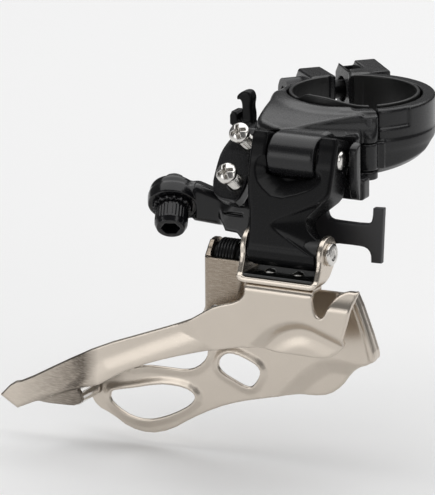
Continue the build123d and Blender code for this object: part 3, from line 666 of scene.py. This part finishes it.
def make_inner_link():
    """The inner link with its arm and the housing of the cable anchor."""
    g = Grid("inner_link", 0.22)
    down, out = link_frame(g, INNER_TOP)
    across = g.x + 0 * down
    neck = [
        (-18.5, -1), (-13.6, -1), (-13.6, 6.6), (-12, 8), (-12, LINK), (-13.9, LINK), (-13.9, 17.8),
        (-20.6, 17.4), (-20.6, 7), (-18.5, 6.4),
    ]
    link = meet(outline(across, down, curve(neck, 1)), slab(out, -3, 3), soft=0.6)
    link = join(link, x_rod(g, INNER_TOP, -18.5, -13.6, 4.2, 0.4), x_rod(g, INNER_LOW, -13.9, -12, 3.7, 0.3),
                soft=0.6)
    ribs = np.maximum(np.abs((down - 7) % 2.4 - 1.2) - 0.3, slab(down, 9.4, 14))
    link = cut(link, np.maximum(np.maximum(ribs, slab(across, -20, -14.6)), 2.3 - out), soft=0.15)
    root, end = np.array((-20.0, -32.4, -20.6)), np.array((-30.0, -36.4, -17.4))
    way = unit(end - root)
    side = unit(np.cross(way, (0, 0, 1)))
    up = np.cross(side, way)
    t = np.clip(g.along(root, way) / np.linalg.norm(end - root), 0, 1)
    u, v = np.abs(g.along(root, side)) - 2.9 - 0.4 * t, np.abs(g.along(root, up)) - 3.9 - 1.2 * t
    link = join(link, meet(u, v, slab(g.along(root, way), -0.5, 11), soft=2.2), soft=1.6)
    link = join(link, anchor_rod(g, -3.6, HOUSING_TOP, 6.2, 2.4), anchor_rod(g, 0, HOUSING_TOP, 6.15, 0.4),
                soft=1.2)
    link = cut(link, anchor_rod(g, HOUSING_TOP, 14, 6.1), anchor_rod(g, -8, 6, 2.55), soft=0.2)
    link = cut(link, x_rod(g, INNER_TOP, -20, -12, 1.85, 0.05), x_rod(g, INNER_LOW, -15, -11, 2.2, 0.05),
               soft=0.2)
    return g, link


def make_washer():
    """The toothed washer under the anchor bolt."""
    g = Grid("anchor_washer", 0.14)
    face = ANCHOR + (HOUSING_TOP + 0.05) * ANCHOR_DIR
    angle, r, t = anchor_angle(g), g.radius(face, ANCHOR_DIR), g.along(face, ANCHOR_DIR)
    disc = meet(r - 4.95 - 0.22 * np.cos(16 * angle), slab(t, 0, 1.5), soft=0.3)
    teeth = np.maximum(3.9 - r, 1.32 - t + 0.2 * np.cos(24 * angle))
    return g, cut(cut(disc, teeth, soft=0.1), r - 2.5, soft=0.1)


def make_anchor_bolt():
    """A socket-head bolt with a ribbed rim."""
    g = Grid("anchor_bolt", 0.14)
    head = ANCHOR + 4.15 * ANCHOR_DIR
    bolt = turned(g, head, ANCHOR_DIR, [(-10, 2.5), (0, 2.5), (0, 4.1), (4.4, 4.1), (5.6, 3.5)])
    ribs = np.cos(RIBS * anchor_angle(g)) * step_in(slab(g.along(head, ANCHOR_DIR), 0.4, 4.4), 0.6)
    socket = hexagon(g, head + 5.8 * ANCHOR_DIR, -ANCHOR_DIR, 4.3, 3.4)
    return g, cut(bolt - RIB_DEPTH + RIB_DEPTH * ribs, socket, soft=0.35)


def make_limit_screw(node):
    """A domed cross-head screw with a thread."""
    g = Grid(node, 0.11)
    foot = screw_foot(node)
    t, r = g.along(foot, SCREW_DIR), g.radius(foot, SCREW_DIR)
    dome = meet(r - HEAD_R, HEAD_TOP - 2.3 - t, np.hypot(r, t - HEAD_TOP + 3.6) - 3.6, soft=0.25)
    side = unit(np.cross(SCREW_DIR, (1, 0, 0)))
    up = np.cross(SCREW_DIR, side)
    u, v = g.along(foot, side), g.along(foot, up)
    thread = THREAD_DEPTH * np.cos(2 * pi * t / THREAD_PITCH - np.arctan2(v, u))
    shank = meet(r - 1.7 + thread, slab(t, SCREW_TIPS[node], HEAD_TOP - 1.5), soft=0.2)
    turn = radians(25)
    a, b = np.abs(u * cos(turn) + v * sin(turn)), np.abs(v * cos(turn) - u * sin(turn))
    wing = np.minimum(np.maximum(a - 2.0, b - 0.4), np.maximum(a - 0.4, b - 2.0))
    cross = np.maximum(np.minimum(wing, a + b - 1.1), HEAD_TOP - 2.9 - t + 0.5 * (a + b))
    return g, cut(join(dome, shank, soft=0.3), cross, soft=0.2)


# ---------------------------------------------------------------- cage

RIVET_R, RIVET_HEAD_R = 1.0, 1.6
FOLD = 1.5               # thickness of the bracket, and how far the outer plate's fold is under its floor


def bent_sheet(g, mid_y, thickness):
    """A sheet of even thickness whose middle surface is at Y = mid_y(x, z)."""
    slope_x, slope_z = np.gradient(mid_y[:, 0, :], g.step)
    steep = np.sqrt(1 + slope_x**2 + slope_z**2)[:, None, :]
    return (np.abs(g.y - mid_y) - thickness / 2 * steep) / steep


def make_outer_plate():
    """The outboard plate: a strap that twists at its tail, a pressed lobe, and a horn at the front."""
    g = Grid("outer_plate", 0.26)
    x, z = g.x, g.z
    shape = [
        (-5.4, -32.4), (-5.4, -32.4), (-5.8, -35.4), (-8, -37.6), (-14.2, -39.4), (-17.6, -41.6),
        (-22, -44.4), (-33, -48.8), (-47, -54.2), (-58, -60.2), (-70, -67), (-73, -67.7), (-76.8, -71.7),
        (-76.8, -71.7), (-71.4, -74.4), (-71.4, -74.4), (-62, -70), (-54, -66.6), (-48, -65.2), (-45, -63.3),
        (-40, -60.2), (-32, -56.6), (-22, -53.2), (-12, -50.6), (-4.4, -48.9), (0, -50.4), (7, -50.2),
        (14, -50.4), (17.6, -49.4), (20.4, -46.4), (21.4, -42.6), (22.2, -40), (23.4, -35), (24.1, -32),
        (24.1, -32), (21.0, -32), (18.6, -33.4), (17.2, -35.6), (16.0, -38.4), (14.6, -39.2), (13.4, -37.8),
        (12.8, -35), (12.6, -32.4), (12.6, -32.4),
    ]
    lobe = [
        (-5.5, -48.6), (-2.6, -45.6), (0.4, -42.8), (4, -40.9), (8, -39.9), (11.6, -40.1), (15, -41.2),
        (30, -46.5), (30, -60), (-6, -60),
    ]
    lobe = outline(x, z, curve(lobe, 1))
    press = 3.0 * step_in(lobe, 3.6) - 0.5 * step_in(lobe + 4.6, 4.0)
    band = [(-17.0, -49.2), (-21.8, -52), (-31.9, -56.7), (-42.1, -61.8), (-46, -70), (-20, -60), (-10, -52)]
    lower = 0.9 * step_in(outline(x, z, band), 3.2)
    arm = [(-16, -38), (-20.4, -44.5), (-17.4, -49.3), (-30, -55), (-44, -61.5), (-80, -90), (-90, -50)]
    upper = 0.7 * step_in(outline(x, z, arm), 5.0)
    twist = step_in(x + 50.5 + 0.35 * (z + 60), 5.0) * np.clip((z + 66 - 0.45 * (x + 56)) * 0.16, -0.9, 1.1)
    horn = 4.2 * step_in(-37.2 - z, 7.5) * step_in(14.8 - x, 1.5)
    mid = OUTER_Y + 0.02 + PLATE / 2 + press + lower + upper + 0.9 * twist + horn
    plate = meet(bent_sheet(g, mid, PLATE), outline(x, z, curve(shape, 1)), soft=0.45)
    fold = [(-5.2, OUTER_Y), (12.4, OUTER_Y), (12.4, -46.5), (-5.2, -46.5)]
    flange = meet(outline(g.x, g.y, fold), slab(z, SHELF_TOP - 2.8, SHELF_TOP - FOLD), soft=0.3)
    rim = meet(OUTER_Y - g.y, z - SHELF_TOP + FOLD, soft=2.2)
    plate = np.maximum(join(plate, flange, soft=1.2), np.where(np.abs(x - 3.6) < 9.4, rim, -FAR))
    lip = [(-68, -71), (-60, -68), (-54.6, -66), (-52.6, -68.6), (-53.4, -71.6), (-60, -72), (-65, -72)]
    lip = meet(outline(x, z, curve(lip, 1)), slab(g.y, OUTER_Y + PLATE - 0.3, OUTER_Y + 2 * PLATE), soft=0.5)
    plate = join(plate, lip, soft=0.5)
    return g, drill_rivets(g, plate, bottom=-36)


def rivet_places():
    """The two rivets of the bracket's floor, in X and Y."""
    low, high = low_high("bracket_rivets")
    return (low[:2] + RIVET_HEAD_R, high[:2] - RIVET_HEAD_R)


def drill_rivets(g, piece, bottom=-99, soft=0.1):
    """Takes the rivets' holes out of a piece, above a height."""
    for x, y in rivet_places():
        piece = cut(piece, np.hypot(g.x - x, g.y - y) - RIVET_R + np.where(g.z > bottom, 0, FAR), soft=soft)
    return piece


def make_inner_plate():
    """The inboard plate, dished, with three openings, and the strap that joins it to the outer plate."""
    g = Grid("inner_plate", 0.28)
    x, z = g.x, g.z
    shape = [
        (18.2, -35.6), (18.2, -35.6), (21.4, -42), (23.9, -49.6), (24.4, -52), (22.8, -53.6), (19.8, -54.8),
        (17, -57.2), (14.4, -61), (11, -63.6), (7, -64.4), (1, -64.6), (-6.5, -66.4), (-13.6, -68.3),
        (-20, -70.8), (-27, -74.6), (-33, -78.6), (-39, -80.4), (-45, -79.6), (-50, -76.6), (-54.4, -75),
        (-56.4, -71.6), (-55, -67.4), (-50, -64.8), (-41, -58), (-32, -52.4), (-26, -48.6), (-22.4, -44),
        (-22.4, -36), (-22.4, -36),
    ]
    tail_gap = [
        (-50, -70.2), (-50.3, -72.4), (-48, -74.4), (-44.3, -76.2), (-39.6, -76.6), (-34.8, -75.2),
        (-29, -72.2), (-25.9, -69.6), (-25.8, -67.8), (-28.6, -66.4), (-34, -66.2), (-39, -67.2),
        (-43, -68.4), (-47.4, -69.4),
    ]
    middle_gap = [
        (-18.8, -57.4), (-19.1, -59.4), (-17.8, -61), (-14.2, -62.6), (-11.2, -63.8), (-9.4, -63.5),
        (-7.8, -61.4), (-7.1, -59.4), (-8, -57.8), (-10.4, -56.7), (-14, -55.5), (-16.8, -55.6),
    ]
    upper_gap = [
        (-44.6, -63.2), (-40, -61.8), (-34, -61.6), (-28.4, -61.6), (-25, -60.4), (-22.2, -57.6),
        (-21.8, -54.6), (-23.6, -53), (-31, -53.6), (-38, -58.4),
    ]
    gaps = [outline(x, z, curve(gap, 1)) for gap in (tail_gap, middle_gap, upper_gap)]
    near_gap = np.minimum.reduce(gaps)
    nose = [(30, -52.4), (21, -53.4), (14, -52.6), (9, -53.4), (3, -58), (-4, -66), (-2, -75), (30, -75)]
    nose = outline(x, z, curve(nose, 1))
    dish = 1.9 * step_in(nose, 5.0) - 0.6 * step_in(near_gap - 2.4, 2.6)
    mid = INNER_Y + PLATE / 2 + 0.75 + np.clip(dish, -0.75, 3.0)
    plate = meet(bent_sheet(g, mid, PLATE), outline(x, z, curve(shape, 1)), soft=0.45)
    plate = cut(plate, near_gap, soft=0.4)
    front = [
        (17.6, -35.8), (18.8, -35.6), (24.1, -49.4), (24.5, -52.2), (23.4, -52.8), (22.9, -50.4), (21, -44),
    ]
    flange = meet(outline(x, z, curve(front, 1)), slab(g.y, INNER_Y + 0.3, INNER_Y + 4.6), soft=0.4)
    return g, join(plate, flange, bridge(g), soft=1.0)


def bridge(g):
    """The strap that joins the two plates above the chain, at the front."""
    y0, y1 = INNER_Y + 0.6, OUTER_Y + 5.0
    plan = [(13.4, y0), (18.2, y0), (21.6, y1), (17.8, y1)]
    return meet(outline(g.x, g.y, curve(plan, 1)), slab(g.z, -37.2, -35.9), soft=0.5)


def channel(u, v, left, right, floor, thickness, bend):
    """The section of a sheet bent into a U with its floor downward."""
    outside = meet(slab(u, left, right), floor - v, soft=2.6 * bend)
    inside = meet(slab(u, left + thickness, right - thickness), floor + thickness - v, soft=1.3 * bend)
    return np.maximum(outside, -inside)


def make_bracket():
    """The silver sheet that carries the cage on both lower pivots."""
    g = Grid("cage_bracket", 0.22)
    y, z = OUTER_LOW
    left, right = low_high("cage_bracket")[0][0] + 14.0, low_high("cage_bracket")[1][0]
    section = channel(g.x, g.z, left, right, SHELF_TOP - FOLD, FOLD, 1.0)
    ear = [
        (y - 4.4, z), (y - 4.9, z - 2.6), (y - 6.4, SHELF_TOP + 0.8), (y - 7.3, SHELF_TOP - 1.6),
        (y - 2, SHELF_TOP - 1.6), (y + 0.6, SHELF_TOP + 0.4), (y + 3.6, z - 3), (y + 4.6, z),
    ]
    side = np.minimum(np.hypot(g.y - y, g.z - z) - 4.6, outline(g.y, g.z, curve(ear, 1)))
    floor = np.maximum(slab(g.y, OUTER_Y + 0.6, INNER_Y + 0.6), g.z - SHELF_TOP - 0.2)
    floor = np.maximum(floor, np.minimum(g.x - right + 2.6, g.y - y + 1.5))
    bracket = meet(section, join(side, floor, soft=1.2), soft=0.4)
    tab = [(3.6, -44), (9.6, -44), (9.6, -34.2), (3.6, -34.2)]
    tab = meet(outline(g.x, g.y, tab), slab(g.z, SHELF_TOP - FOLD, SHELF_TOP), soft=0.3)
    bracket = join(bracket, tab, soft=0.3)
    bracket = cut(bracket, x_rod(g, OUTER_LOW, -10, 15, 2.3, 0.05), soft=0.15)
    bracket = join(bracket, rear_bracket(g), soft=0.4)
    return g, drill_rivets(g, bracket)


def rear_bracket(g):
    """The upright face behind the spring, bent into two ears."""
    y, z = INNER_LOW
    low = low_high("cage_bracket")[0]
    section = channel(g.x, g.y, low[0], low[0] + 12.1, INNER_Y - 1.5, 1.4, 0.9)
    front = slab(g.z, -45.6, z + 0.9)
    ear = [(y - 2, z + 4.4), (y - 5.2, z + 0.9), (y - 5.2, -35.6), (y, -35.6), (y + 3.6, z - 3)]
    side = np.minimum(np.hypot(g.y - y, g.z - z) - 4.5, outline(g.y, g.z, ear))
    body = np.minimum(np.maximum(front, g.y - INNER_Y - 0.2), side)
    body = np.maximum(section, body)
    link = np.maximum(slab(g.x, low[0] + 10, low[0] + 15), slab(g.y, INNER_Y - 1.5, INNER_Y + 0.4))
    body = np.minimum(body, np.maximum(link, slab(g.z, SHELF_TOP - FOLD, SHELF_TOP)))
    return cut(body, x_rod(g, INNER_LOW, -24, -9, 1.5, 0.05), soft=0.1)


def make_shade_sheet():
    """A near-black sheet on the bracket's floor: painted shade and reflection of the outer link above it."""
    g = Grid("bracket_plate", 0.16)
    low, high = low_high("bracket_plate")
    edge = [(low[0], low[1]), (high[0], low[1]), (high[0], high[1]), (low[0], high[1])]
    plate = meet(outline(g.x, g.y, edge), slab(g.z, low[2], high[2]), soft=0.5)
    return g, drill_rivets(g, plate, soft=0.05)


def make_rivets():
    """Domed heads above the near-black sheet of painted shade, and flat ones under the outer plate's fold."""
    g = Grid("bracket_rivets", 0.1)
    low, high = low_high("bracket_rivets")
    rivets = FAR
    for x, y in rivet_places():
        r = np.hypot(g.x - x, g.y - y)
        dome = meet(np.hypot(r, g.z - high[2] + 2.1) - 2.1, high[2] - 0.75 - g.z, soft=0.1)
        dome = cut(dome, np.hypot(r, g.z - high[2] - 0.25) - 0.55, soft=0.15)
        foot = meet(r - 1.5, slab(g.z, low[2], low[2] + 0.8), soft=0.3)
        shank = meet(r - RIVET_R, slab(g.z, low[2], high[2] - 0.4), soft=0.1)
        rivets = np.minimum(rivets, join(dome, shank, foot, soft=0.2))
    return g, rivets


def make_face_rivets():
    """The two rivets that hold the inner plate, with domed heads on its outboard face."""
    g = Grid("face_rivets", 0.1)
    low, high = low_high("face_rivets")
    rivets = FAR
    for x in (low[0] + 1.7, high[0] - 1.7):
        r = np.hypot(g.x - x, g.z - (low[2] + high[2]) / 2)
        head = meet(np.hypot(r, g.y - low[1] - 2.4) - 2.4, g.y - low[1] - 0.75, soft=0.1)
        shank = meet(r - RIVET_R, slab(g.y, low[1] + 0.3, high[1]), soft=0.3)
        rivets = np.minimum(rivets, join(head, shank, soft=0.2))
    return g, rivets


def make_block():
    """The setting block: a flat H with rounded inner corners."""
    g = Grid("setting_block", 0.18)
    low, high = low_high("setting_block")
    shape = [
        (5.2, -14.8), (5.2, -14.8), (8.4, -14.4), (8.4, -14.4), (8.6, -17.6), (9.6, -18.8), (12, -18.9),
        (19, -18.9), (20.6, -18.4), (21.1, -16.8), (21.2, -14.4), (21.2, -14.4), (24.1, -14.2),
        (24.1, -14.2), (23.5, -28.6), (23.5, -28.6), (20.7, -28.7), (20.7, -28.7), (20.6, -26.2),
        (19.4, -24.9), (17, -24.7), (10.4, -24.8), (8.6, -25.8), (8.3, -28), (8.3, -30.8), (8.3, -30.8),
        (5.2, -30.8), (5.2, -30.8), (5, -24),
    ]
    return g, meet(outline(g.x, g.z, curve(shape, 1)), slab(g.y, low[1], high[1]), soft=0.5)


# ---------------------------------------------------------------- turned pieces


def x_axis_profile(node, radius, head=0.0, head_radius=0.0, dome=0.35):
    """The outline of a pin along X, with domed ends and a head at its right end."""
    low, high = low_high(node)
    a, b = low[0], high[0]
    profile = [(a, 0), (a, radius - dome), (a + dome, radius)]
    if head:
        profile += [(b - head, radius), (b - head, head_radius), (b - 0.35, head_radius),
                    (b, head_radius - 0.45)]
        profile += [(b, 1.5), (b - 0.3, 1.2), (b - 0.3, 0)]
    else:
        profile += [(b - dome, radius), (b - 0.3 * dome, 0.8 * radius), (b, 0.45 * radius), (b, 0)]
    return profile


def make_spring():
    """The wound coil: a close helix of round wire."""
    low, high = low_high("return_spring")
    wire, turns, steps = 0.5, 6, 32
    middle = (low + high) / 2
    radius = (high[1] - low[1]) / 2 - wire
    pitch = (high[0] - low[0] - 2 * wire) / turns
    line = bpy.data.curves.new("return_spring_line", "CURVE")
    line.dimensions = "3D"
    line.bevel_depth = wire * MM
    line.bevel_resolution = 3
    line.use_fill_caps = True
    spline = line.splines.new("POLY")
    spline.points.add(turns * steps)
    for i, point in enumerate(spline.points):
        a = 2 * pi * i / steps
        x = low[0] + wire + pitch * i / steps
        point.co = (x * MM, (middle[1] + radius * cos(a)) * MM, (middle[2] + radius * sin(a)) * MM, 1)
    wound = bpy.data.objects.new("wound", line)
    bpy.context.scene.collection.objects.link(wound)
    mesh = bpy.data.meshes.new_from_object(wound.evaluated_get(bpy.context.evaluated_depsgraph_get()))
    bpy.data.objects.remove(wound)
    settle("spring_coil", mesh, "cage", "return_spring", BLACK_SPRING)


# ---------------------------------------------------------------- the whole object

PIECES = {
    "saddle": ("body", make_body, "main_body", "body_black", SATIN_BLACK),
    "band": ("clamp", make_band, "clamp_band", "body_black", SATIN_BLACK),
    "guide": ("body", make_guide, "cable_guide", "link_black", LINK_BLACK),
    "front_link": ("outer link", make_outer_link, "outer_link", "link_black", LINK_BLACK),
    "anchor_link": ("inner link", make_inner_link, "inner_link", "gloss_black", GLOSS_BLACK),
    "toothed_washer": ("cable anchor", make_washer, "anchor_washer", "gloss_black", GLOSS_BLACK),
    "socket_bolt": ("cable anchor", make_anchor_bolt, "anchor_bolt", "gloss_black", GLOSS_BLACK),
    "cage_outer": ("cage", make_outer_plate, "outer_plate", "cage_steel", SHADED_TAIL_NICKEL),
    "cage_inner": ("cage", make_inner_plate, "inner_plate", "cage_steel", NICKEL),
    "bracket": ("cage", make_bracket, "cage_bracket", "cage_steel", SHADED_REAR_NICKEL),
    "bracket_painted_shade": ("cage", make_shade_sheet, "bracket_plate", "black_plate", SHADE_SHEET),
    # The bracket's near-black sheet is painted shade and reflection of the outer link.
    "rivets": ("cage", make_rivets, "bracket_rivets", "zinc", ZINC),
    "rear_rivets": ("cage", make_face_rivets, "face_rivets", "zinc", ZINC),
    "block": ("setting block", make_block, "setting_block", "grey_plastic", GREY_PLASTIC),
}
for name, (body, make, node, slot, material) in PIECES.items():
    g, field = make()
    build(name, body, g, field, node, material)
LINERS = {"rear_liner": ("body", 139, 307.5), "front_liner": ("clamp", -45.5, 115)}
for node, (body, start, end) in LINERS.items():
    g, field = make_liner(node, start, end)
    build(f"wavy_{node}", body, g, field, node, LINER_PLASTIC)
for node, body in {"limit_screw_high": "high limit", "limit_screw_low": "low limit"}.items():
    g, field = make_limit_screw(node)
    build(node.replace("limit_screw", "cross_head"), body, g, field, node, ZINC)
PINS = {
    "upper_outer_pin": ("outer link", (0, *OUTER_TOP), x_axis_profile("upper_outer_pin", 2.4, dome=0.7)),
    "upper_inner_pin": ("body", (0, *INNER_TOP), x_axis_profile("upper_inner_pin", 1.8)),
    "lower_outer_pin": ("cage", (0, *OUTER_LOW), x_axis_profile("lower_outer_pin", 2.3, 1.2, 2.9)),
    "lower_inner_pin": ("cage", (0, *INNER_LOW), x_axis_profile("lower_inner_pin", 1.5)),
}
for node, (body, origin, profile) in PINS.items():
    g = Grid(node, 0.12)
    build(f"turned_{node}", body, g, turned(g, origin, (1, 0, 0), profile), node, ZINC)
make_spring()

FINISHES = {
    LINK_BLACK: ("clamp_hinge_pin", "clamp_bolt", "clamp_nut"),
    BUSH_PLASTIC: ("upper_pivot_bush", "lower_pivot_bush", "spring_bush"),
    ZINC: ("tail_spacer", "tail_screw"),
}
for material, nodes in FINISHES.items():
    for node in nodes:
        frame["nodes"][node].data.materials.clear()
        frame["nodes"][node].data.materials.append(material)

# ---------------------------------------------------------------- floor, light and camera

# In metres, except where the name says otherwise.
FLOOR_DROP, FLOOR_HALF = 0.003, 3.0
FLOOR_PAINT = (0.9, 0.9, 0.9, 1)
SKY = 0.12                               # the world's strength
CAMERA_PLACE = (0.4608, -1.0132, 0.2845)
CAMERA_DEGREES = 26.28, 16.08            # to the front of square, and up
CAMERA_ROLL = -0.0065                    # radians
CAMERA_LENS_MM = 324.6


def make_floor():
    z, s = cad_box[0][2] - FLOOR_DROP, FLOOR_HALF
    mesh = bpy.data.meshes.new("floor")
    mesh.from_pydata([(-s, -s, z), (s, -s, z), (s, s, z), (-s, s, z)], [], [(0, 1, 2, 3)])
    floor = bpy.data.objects.new("floor", mesh)
    bpy.context.scene.collection.objects.link(floor)
    paint = bpy.data.materials.new("floor_paint")
    paint.use_nodes = True
    paint.node_tree.nodes["Principled BSDF"].inputs["Base Color"].default_value = FLOOR_PAINT
    paint.node_tree.nodes["Principled BSDF"].inputs["Roughness"].default_value = 0.9
    mesh.materials.append(paint)


def make_lamp(name, place, target, size, radiance):
    """A rectangular soft light that faces target, as bright as radiance over its whole face."""
    lamp = bpy.data.lights.new(name, "AREA")
    lamp.shape = "RECTANGLE"
    lamp.size, lamp.size_y = size
    lamp.energy = radiance * pi * size[0] * size[1]
    holder = bpy.data.objects.new(name, lamp)
    holder.location = place
    holder.rotation_euler = (Vector(target) - Vector(place)).to_track_quat("-Z", "Y").to_euler()
    bpy.context.scene.collection.objects.link(holder)


def make_camera():
    """The camera stands outboard of the part, to its front, and above."""
    azimuth, rise = radians(CAMERA_DEGREES[0]), radians(CAMERA_DEGREES[1])
    back = Vector((sin(azimuth) * cos(rise), -cos(azimuth) * cos(rise), sin(rise)))
    level = Vector((cos(azimuth), sin(azimuth), 0))
    upright = back.cross(level)
    right = cos(CAMERA_ROLL) * level + sin(CAMERA_ROLL) * upright
    camera = bpy.data.cameras.new("camera")
    camera.lens = CAMERA_LENS_MM
    camera.sensor_width = 36
    camera.clip_start = 0.01
    holder = bpy.data.objects.new("camera", camera)
    turn = Matrix((right, back.cross(right), back)).transposed()
    holder.matrix_world = Matrix.Translation(CAMERA_PLACE) @ turn.to_4x4()
    bpy.context.scene.collection.objects.link(holder)
    bpy.context.scene.camera = holder
    bpy.context.scene.view_settings.view_transform = "Standard"


def make_world():
    world = bpy.data.worlds.new("studio")
    world.use_nodes = True
    world.node_tree.nodes["Background"].inputs["Color"].default_value = (1, 1, 1, 1)
    world.node_tree.nodes["Background"].inputs["Strength"].default_value = SKY
    bpy.context.scene.world = world


make_floor()
middle = (cad_box[0] + cad_box[1]) / 2
make_lamp("overhead", (0, 0.55, 1.1), (0, 0.5, 0), (2.4, 2.4), 1.6)
make_lamp("front_left", (-0.55, -1.0, 0.12), middle, (0.6, 0.5), 1.8)
make_lamp("right", (0.95, -0.45, 0.35), middle, (0.3, 0.6), 1.5)
make_camera()
make_world()
